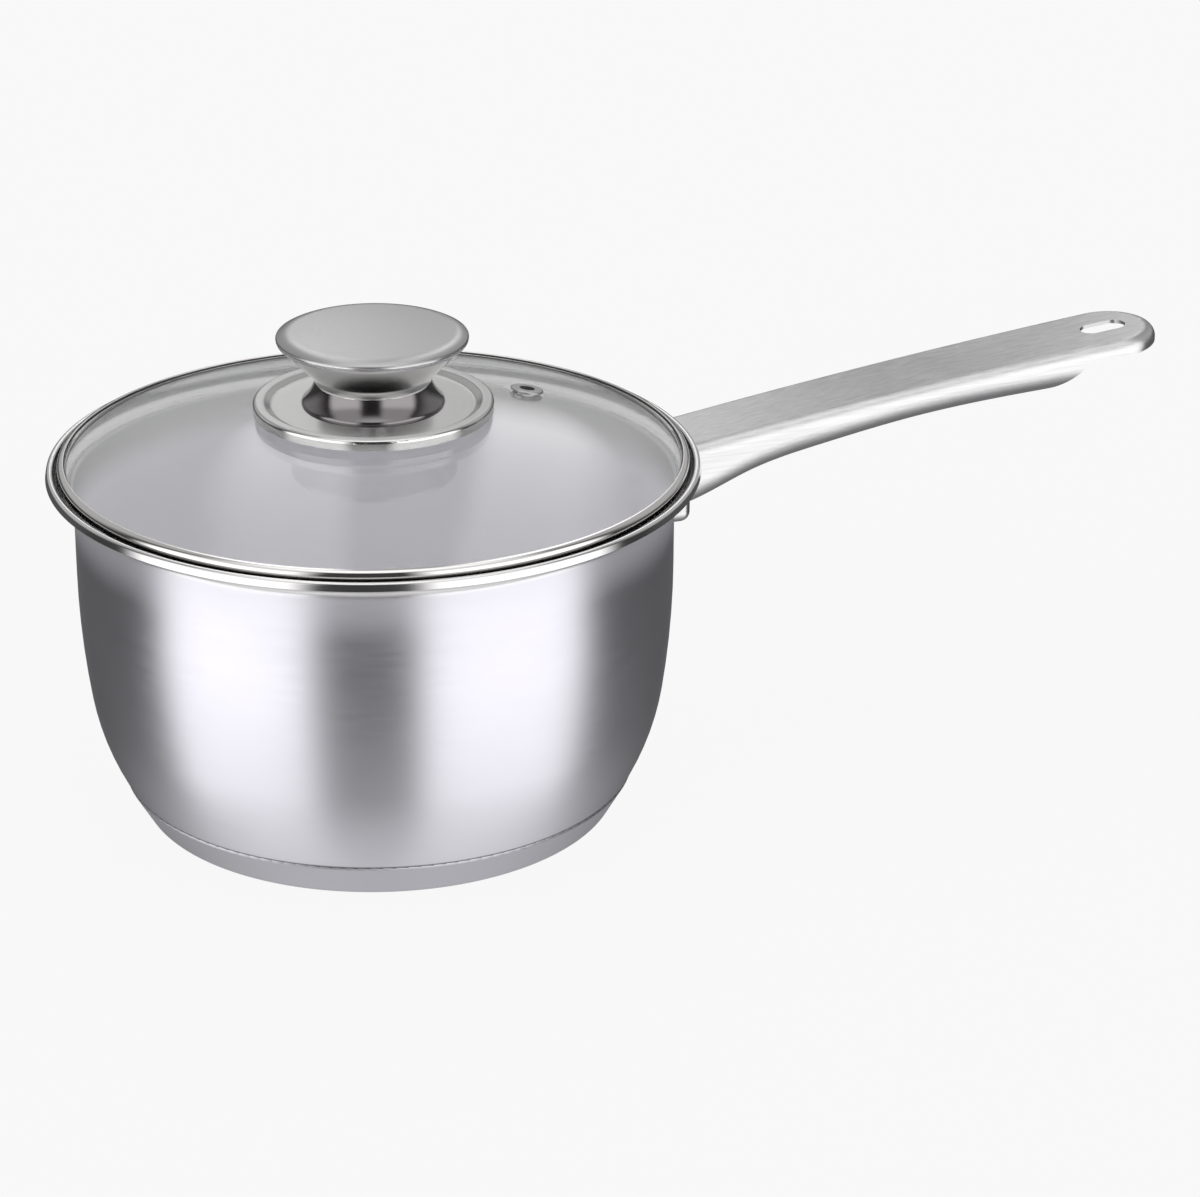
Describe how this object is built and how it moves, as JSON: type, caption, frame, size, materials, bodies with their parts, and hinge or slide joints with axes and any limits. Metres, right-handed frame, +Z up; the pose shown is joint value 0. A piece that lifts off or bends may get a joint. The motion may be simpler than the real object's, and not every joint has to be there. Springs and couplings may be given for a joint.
{
  "type": "saucepan with glass lid",
  "caption": "Bellied steel saucepan with an encapsulated base, a long hollow handle with a hanging slot, and a vented domed glass lid with a trumpet-shaped steel knob.",
  "frame": {"origin": "centre of the underside of the base", "axes": "+Z up along the axis of the pan, +X along the handle"},
  "size_m": [0.3188, 0.1756, 0.1346],
  "materials": {
    "brushed_steel": "satin, fine grain",
    "polished_steel": "mirror polished",
    "core_aluminium": "as pressed",
    "clear_glass": "clear, toughened",
    "silicone": "translucent, matt"
  },
  "bodies": {
    "pan": {"pan_shell": "brushed_steel", "base_core": "core_aluminium", "base_cap": "brushed_steel", "handle_bracket": "brushed_steel", "handle_shell": "brushed_steel"},
    "lid": {"lid_glass": "clear_glass", "lid_band": "polished_steel", "band_seal": "silicone", "vent_eyelet": "polished_steel", "vent_ring": "polished_steel", "gasket_upper": "silicone", "gasket_lower": "silicone", "screw_washer": "polished_steel", "lock_washer": "polished_steel", "knob_screw": "polished_steel"},
    "knob": {"knob_flange": "polished_steel", "knob_lower_shell": "polished_steel", "knob_upper_shell": "polished_steel", "knob_cap": "brushed_steel", "knob_insert": "polished_steel", "knob_bulkhead": "brushed_steel"}
  },
  "joints": [
    {"name": "lid_lift", "type": "slide", "parent": "pan", "child": "lid", "axis": [0, 0, 1], "range_m": [0, 0.12]},
    {"name": "knob_turn", "type": "hinge", "parent": "lid", "child": "knob", "pos_m": [0, 0, 0.1146], "axis": [0, 0, 1], "continuous": true}
  ]
}
